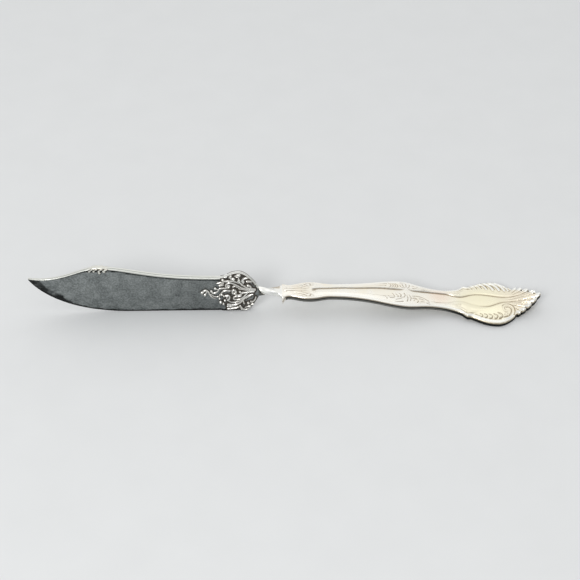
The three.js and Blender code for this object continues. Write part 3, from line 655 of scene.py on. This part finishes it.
# The raised scroll of the near shoulder.
SCROLL = (
    ([(79.3, 8.8), (81.3, 8.2), (83.0, 6.9), (83.7, 5.2), (83.4, 3.6), (82.3, 2.6), (81.0, 2.7),
      (80.2, 3.7), (80.4, 4.9), (81.4, 5.2)], 0.42, 0.26),
    ([(81.6, 7.0), (82.5, 6.1), (82.4, 4.9), (81.9, 4.2)], 0.3, 0.16),
    ([(79.9, 7.5), (80.9, 7.0), (81.0, 6.2)], 0.3, 0.18),
)
# The middle leaf of the fan and its side leaves, the same on both sides.
FRONDS = (
    ([(81.0, 0), (87, 0), (93.4, 0)], 0.15, 1.15),
    ([(82.4, 1.2), (87.0, 1.6), (91.9, 2.4)], 0.15, 1.1),
    ([(83.6, 2.2), (86.6, 2.9), (89.9, 4.4)], 0.2, 1.1),
    ([(84.2, 3.3), (85.9, 4.3), (87.8, 5.8)], 0.25, 1.0),
    ([(84.2, 4.6), (85.0, 5.5), (86.0, 6.6)], 0.25, 0.75),
)
# Cut lines: inside the scroll, in the leafwork of the swell on the near and the far side, in a palmette
# between the far leaves, and between the leaves of the fan.
SCROLL_LINES = (
    [(79.8, 2.9), (80.8, 2.0), (82.4, 1.9), (83.8, 3.0), (84.3, 5.0), (83.8, 6.7)],
    [(81.2, 3.6), (82.1, 3.4), (82.9, 4.3), (82.8, 5.6), (82.0, 6.8)],
)
NEAR_LEAF_LINES = (
    [(38.4, 1.5), (38.6, 2.4), (39.2, 2.9), (40.0, 2.8)], [(39.9, 0.1), (40.6, 1.2), (40.4, 2.8)],
    [(41.0, 3.6), (43.1, 2.7), (44.5, 1.1), (44.3, -0.2)], [(41.2, 0.3), (42.0, 1.2), (41.8, 2.2)],
    [(45.2, 0.7), (45.5, 2.3), (45.1, 3.9)], [(46.1, 0.4), (46.7, 1.8), (46.3, 3.4)],
    [(47.5, 3.4), (48.3, 2.4), (49.2, 3.0), (48.8, 4.0)],
    [(47.1, 0.7), (48.8, 0.4), (50.9, 0.7), (53.4, 2.1)],
    [(49.6, 1.3), (51.3, 1.8), (53.2, 3.0)], [(40.6, 4.6), (42.0, 4.6), (43.6, 4.2)],
    [(42.4, -0.2), (43.1, 0.6), (42.9, 1.6)], [(47.4, 1.6), (48.4, 1.5), (49.3, 2.1)],
    [(36.6, 2.2), (37.4, 2.6), (37.9, 3.4)], [(50.2, 3.2), (51.6, 3.3), (53.4, 4.0)],
)
FAR_LEAF_LINES = (
    [(46.0, 2.5), (48.5, 2.6), (51.5, 3.0), (54.5, 3.6)], [(47.6, 3.2), (49.6, 3.4), (52.4, 3.9)],
    [(47.7, 4.6), (49.2, 4.2), (51.3, 4.4)], [(43.2, 5.5), (44.8, 5.6), (46.6, 5.6)],
    [(38.2, 4.5), (36.4, 4.1), (33.8, 3.6)], [(37.9, 3.2), (36.0, 2.9), (34.2, 2.7)],
)
PALMETTE_LINES = (
    [(44.6, 2.7), (43.7, 3.1), (43.0, 3.9)], [(44.8, 2.9), (44.2, 3.9), (43.9, 5.0)],
    [(45.2, 3.0), (45.3, 4.0), (45.2, 5.2)], [(45.7, 2.9), (46.4, 3.8), (46.6, 5.0)],
)
FAN_LINES = (
    [(82.0, 0.4), (87.5, 0.8), (92.3, 1.2)], [(83.2, 1.5), (87, 2.2), (90.8, 3.3)],
    [(84, 2.7), (86.3, 3.6), (88.8, 5.0)], [(84.3, 3.9), (85.6, 5.0), (86.8, 6.1)],
    [(84.5, 1.2), (88, 1.6), (91.3, 2.2)], [(85, 2.6), (87.3, 3.2), (89.5, 4.1)],
)
# Four nested arcs beside the palmette: the distance of each from the shank, and the shape of one.
NESTED_AT = [39.0 + 0.85 * nest for nest in range(4)]
NESTED_ARC = ((0, 2.5), (0.7, 3.3), (0.5, 4.3), (-0.2, 4.9))
# Drilled pits between the lobes of the fan.
PITS = ((84.4, 7.0), (87.9, 4.5), (90.1, 3.3), (91.9, 1.2))
# Crescents of the near shoulder: distance from the shank, distance from the middle line and size of each.
CRESCENTS = ((71.9, 7.2, 0.7), (73.5, 7.4, 0.85), (75.2, 7.6, 1.0), (77.0, 7.6, 1.1), (78.7, 7.2, 1.3))
CRESCENT = ((-0.7, -1.0), (0.25, -0.75), (0.65, 0.0), (0.35, 0.8), (-0.4, 1.1))
# Bent leaves along the rim of the far shoulder: distance of the tip from the shank and size of each.
RIM_LEAVES = ((68.7, 0.4), (70.2, 0.5), (71.7, 0.6), (73.3, 0.8),
              (75.1, 1.0), (77.1, 1.1), (79.1, 1.1), (80.9, 0.9))
RIM_LEAF = ((2.5, -4.7), (2.1, -3.2), (1.2, -1.7), (-0.2, -0.5))

relief_strokes = [stroke(points, start, end) for points, start, end in CURLS]
frond_strokes = [stroke(points, start, end) for points, start, end in FRONDS]
near_strokes = [stroke(points, start, end) for points, start, end in SCROLL]
near_grooves = [stroke(points, 0.12, 0.22) for points in SCROLL_LINES]
near_grooves += [stroke(points, 0.13, 0.19) for points in NEAR_LEAF_LINES]
for middle, level, size in CRESCENTS:
    near_grooves.append(stroke([(middle + size * x, level + size * y) for x, y in CRESCENT], 0.12, 0.2))
    boss = [(middle - 0.5 * size, level - 0.2), (middle - 0.1, level + 0.3)]
    near_strokes.append(stroke(boss, 0.3 * size, 0.45 * size))
far_leaves = []
far_grooves = [stroke([(83.2, 4.8), (84.0, 5.6), (84.6, 6.6)], 0.1, 0.2), stroke([(82.7, 7.9)], 0.38)]
for tip, size in RIM_LEAVES:
    brim = float(outline(tip)) - 0.15
    leaf = [(tip + size * x, brim + size * y) for x, y in RIM_LEAF]
    far_leaves.append(stroke(leaf, 0.4 * size, 0.6 * size))
    far_grooves.append(stroke([(x + 0.85 * size, y + 0.25 * size) for x, y in leaf], 0.17, 0.25))
far_grooves += [stroke([(start + x, y) for x, y in NESTED_ARC], 0.14, 0.18) for start in NESTED_AT]
far_grooves += [stroke(points, 0.18, 0.1) for points in FAR_LEAF_LINES]
far_grooves += [stroke(points, 0.13, 0.2) for points in PALMETTE_LINES]
fan_grooves = [stroke(points, 0.1, 0.2) for points in FAN_LINES]
pits = [stroke([place], 0.34) for place in PITS]

# The upper face: a channel between rolled borders, filled at the middle of the swell by a bridge.
ruffled = (lobe * step(rim[:, 0], NOTCH - 0.5, NOTCH + 1))[:, None] * mound(from_rim - 0.5, 0.75)
faint = step(plan_x, 54, 60) * (1 - step(plan_x, 69, 76)) * step(-plan_y, 0, 1)
soften = 0.16 + 0.34 * step(plan_x, 60, CARTOUCHE) + 0.8 * faint
off_channel = np.abs(plan_y - 0.5 * step(plan_x, 74, 82))
bridge = mound(plan_x - 45.2, 2.1)
sunk = step((channel(plan_x) - off_channel) / soften, -1, 1) * step(plan_x, SWELL, SWELL + 2)
sunk = sunk * (1 - 0.8 * bridge)
roll_width = border(plan_x)
rolled = step(plan_x, 57, 68)
roll = (0.07 + 0.11 * rolled) * np.sin(np.pi * np.clip(from_rim / roll_width, 0, 1))
crease = 0.03 * rolled * mound(from_rim - roll_width, 0.2)


def struck(strokes, distance):
    """The round height of the strokes over the upper face, drawn at that distance from the middle line."""
    return ridges(plan_x.ravel(), distance.ravel(), strokes)[1].reshape(plan_x.shape)


raised = np.maximum(struck(relief_strokes, beside), struck(near_strokes, -plan_y))
cut = np.maximum(struck(near_grooves, -plan_y), struck(far_grooves, plan_y))
cut = np.maximum(cut, struck(fan_grooves, beside))
drilled = struck(pits, beside)
leafed = struck(frond_strokes, beside)
curled = struck(far_leaves, plan_y)
sink = CHANNEL_SINK - 0.2 * step(plan_x, 60, CARTOUCHE)
relief = roll - crease - sink * sunk + 0.5 * raised + 0.26 * leafed + 0.48 * curled
relief = relief - 0.9 * cut - drilled + 0.5 * ruffled
corner = np.clip(CORNER - from_rim, 0, None)
relief = relief - (CORNER - np.sqrt(np.clip(CORNER**2 - corner**2, 0, None)))
wall = 2.05 - 0.35 * step(plan_x, NARROW, SHOULDER)
dome = 1 - (out_from_axis / np.maximum(reach[:, None], 1e-6)) ** 2
crown = (0.35 + 0.95 * step(plan_x, MIDDLE, SHOULDER)) * dome
droop = EAR_DROOP * step(beside, 2.8, EAR_HALF) * (1 - step(plan_x, 1.0, 2.2))
upper = np.stack((plan_x, plan_y, underside(plan_x) + wall + crown + relief - 1.5 * droop), axis=2)

# Dirt stays where the relief lies lower than its blurred copy.
soft = relief
for _ in range(3):
    along = np.roll(soft, 2, 0) + np.roll(soft, -2, 0)
    soft = (along + np.roll(soft, 3, 1) + np.roll(soft, -3, 1) + soft) / 5
# A painted glint along the rim.
rim_glint = mound(from_rim - 0.8, 0.9) * step(plan_x, 14, 20)
# The drilled pits are painted inky: painted shade in the holes.
upper_wear_and_light = 1 - np.clip((soft - relief) / 0.075, 0, 1) ** 0.9 - 5 * drilled
upper_wear_and_light += 0.6 * ruffled + 1.3 * curled + 0.35 * rim_glint


def lower_row(inset, lift):
    """One row of the side wall or the underside: inset from the rim and height above the underside."""
    out = reach - np.minimum(inset, 0.9 * reach)
    x = axis_at + out * np.cos(aim)
    y = out * np.sin(aim)
    sag = EAR_DROOP * step(y, 2.8, EAR_HALF) * (1 - step(x, 1.0, 2.2))
    return np.stack((x, y, underside(x) + lift * (1 - 0.5 * sag) - sag), axis=1)


# The side wall, with a fine line sunk along it, and the round of the lower edge: (inset, height).
SIDE_ROWS = ((0.0, 1.35), (0.1, 1.15), (0.12, 0.95), (0.0, 0.8),
             (0.0, 0.45), (0.08, 0.2), (0.3, 0.04), (0.7, 0.0))
right_rows = [lower_row(inset, lift) for inset, lift in SIDE_ROWS]
right_rows += [lower_row(reach * share, 0.0) for share in (0.3, 0.5, 0.7, 0.9)]
middle_row = np.stack((axis_at, 0 * axis_at, underside(axis_at)), axis=1)
left_rows = [row * (1, -1, 1) for row in reversed(right_rows)]
lower = np.stack(right_rows + [middle_row] + left_rows, axis=1)
# The walls are painted in shade: a grey painted reflection with inky lines, all inky towards the shoulder
# where they come near the floor.
wall_shade = np.array([-1.4, -1.6, -1.4, -0.8, -0.7, -0.8, -1.1, 0.6] + [1] * 4)
lower_shade = np.tile(np.concatenate((wall_shade, [1], wall_shade[::-1])), (len(rim), 1))
shoulder_shade = step(rim[:, 0], 52, 68)[:, None]
lower_shade = np.where(lower_shade < 0, lower_shade + (-1.6 - lower_shade) * shoulder_shade, lower_shade)
lower_shade[rim[:, 0] < 1.4] = 1
handle_rings = np.concatenate((upper, lower), axis=1) + (HANDLE_START, 0, 0)
handle_wear_and_light = np.concatenate((upper_wear_and_light, lower_shade), axis=1)
handle = finished("handle_ornamented", skin(handle_rings, handle_wear_and_light))
handle.data.materials.append(bright)
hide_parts("handle")

# Floor, light and camera. A plain pale matt floor under a soft sky that is palest above and behind, with a
# weak lamp overhead and a soft fill lamp in front. The camera looks from the front and above.
FLOOR_GREY, FLOOR_PALE = (0.64, 0.65, 0.65, 1), (0.67, 0.68, 0.68, 1)
SKY_DIM, SKY_PALE, SKY_PALE_SIDE = (0.46, 0.47, 0.49, 1), (0.98, 0.98, 0.98, 1), (0, 0.73, 0.68)
sheet = bmesh.new()
bmesh.ops.create_grid(sheet, x_segments=2, y_segments=2, size=1.5)
floor_mesh = bpy.data.meshes.new("pale_sheet")
sheet.to_mesh(floor_mesh)
sheet.free()
floor = bpy.data.objects.new("pale_sheet", floor_mesh)
bpy.context.scene.collection.objects.link(floor)
matt, wire = finish("pale_matt_sheet")
fleck = wire.grain(60, 2).blend(FLOOR_GREY, FLOOR_PALE)
wire.node("OutputMaterial", None, {"Surface": wire.node(
    "BsdfPrincipled", None, {"Base Color": fleck, "Roughness": 0.9, "Specular IOR Level": 0.1})})
floor.data.materials.append(matt)

world = bpy.data.worlds.new("soft_room")
world.use_nodes = True
world.node_tree.nodes.clear()
room = Wire(world.node_tree)
looking = room.node("TexCoord")
heading = room.node("VectorMath", {"operation": "DOT_PRODUCT"}, {0: looking, 1: SKY_PALE_SIDE}, out=1)
sky = heading.between(-0.5, 0.8).blend(SKY_DIM, SKY_PALE)
room.node("OutputWorld", None, {"Surface": room.node("Background", None, {"Color": sky, "Strength": 1})})
bpy.context.scene.world = world

for name, place, size, power in (
    ("overhead", (0.05, 0.4, 1.05), 0.8, 0.45),
    ("fill", (-0.45, -0.8, 0.75), 0.4, 5.9),
):
    lamp = bpy.data.lights.new(name, "AREA")
    lamp.size = size
    lamp.energy = power
    lamp_object = bpy.data.objects.new(name, lamp)
    lamp_object.location = place
    lamp_object.rotation_euler = (-Vector(place)).to_track_quat("-Z", "Y").to_euler()
    bpy.context.scene.collection.objects.link(lamp_object)

AZIMUTH, ELEVATION, DISTANCE = math.radians(1.0), math.radians(43), 0.45
VIEW_HALF_WIDTH, SENSOR_WIDTH = 0.10435, 36
target = Vector((0.001, 0, 0.0093))
level = math.cos(ELEVATION)
away = Vector((-math.sin(AZIMUTH) * level, -math.cos(AZIMUTH) * level, math.sin(ELEVATION)))
lens = bpy.data.cameras.new("camera")
lens.sensor_width = SENSOR_WIDTH
lens.lens = SENSOR_WIDTH * DISTANCE / (2 * VIEW_HALF_WIDTH)
camera = bpy.data.objects.new("camera", lens)
camera.location = target + away * DISTANCE
camera.rotation_euler = (-away).to_track_quat("-Z", "Y").to_euler()
bpy.context.scene.collection.objects.link(camera)
bpy.context.scene.camera = camera
bpy.context.scene.view_settings.view_transform = "Standard"
